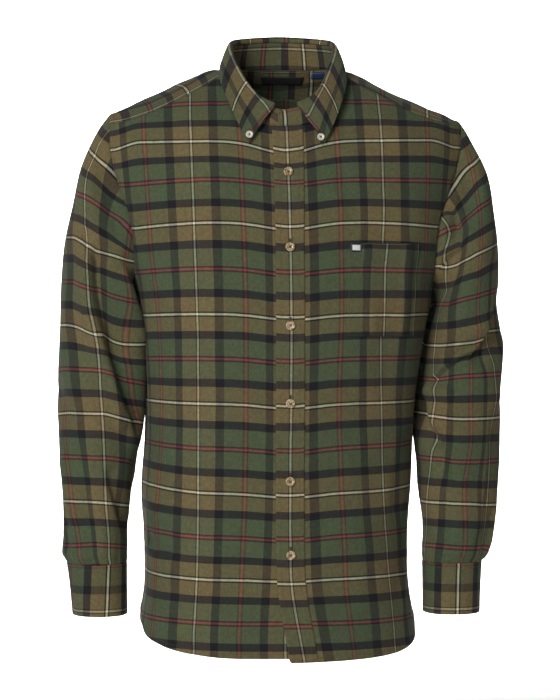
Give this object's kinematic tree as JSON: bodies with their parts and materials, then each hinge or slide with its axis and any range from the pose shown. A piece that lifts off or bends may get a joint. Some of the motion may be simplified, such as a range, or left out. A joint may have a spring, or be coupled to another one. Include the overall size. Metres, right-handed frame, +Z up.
{
  "type": "flannel shirt",
  "caption": "Men's long-sleeved button-down flannel shirt in a tartan check with a chest pocket, filled out as worn, hollow inside.",
  "frame": {"origin": "on the neck's axis at the height where neck and shoulders meet, where the wearer's shoulders hold the shirt", "axes": "+X to the wearer's left, +Y to the wearer's back, +Z up"},
  "size_m": [0.5652, 0.2753, 0.7944],
  "materials": {
    "flannel": "brushed tartan flannel, twill ground with a soft nap",
    "trim_flannel": "the same flannel, doubled and topstitched",
    "label": "plain woven black damask",
    "blue_tape": "plain woven blue tape",
    "horn_button": "mottled horn colour, satin",
    "pearl_button": "pale shell, satin"
  },
  "bodies": {
    "root": {"front_right": "flannel", "front_left": "flannel", "back": "flannel", "yoke": "flannel", "sleeve_right": "flannel", "sleeve_left": "flannel", "sleeve_placket_right": "trim_flannel", "sleeve_placket_left": "trim_flannel", "cuff_right": "trim_flannel", "cuff_left": "trim_flannel", "placket": "trim_flannel", "pocket": "trim_flannel", "collar_stand": "trim_flannel", "collar_leaf": "trim_flannel", "pocket_tab": "blue_tape", "size_tab": "blue_tape", "neck_label": "label", "front_button_1": "horn_button", "front_button_2": "horn_button", "front_button_3": "horn_button", "front_button_4": "horn_button", "front_button_5": "horn_button", "front_button_6": "horn_button", "cuff_button_right": "horn_button", "cuff_button_left": "horn_button", "collar_button_right": "pearl_button", "collar_button_left": "pearl_button"}
  },
  "joints": []
}
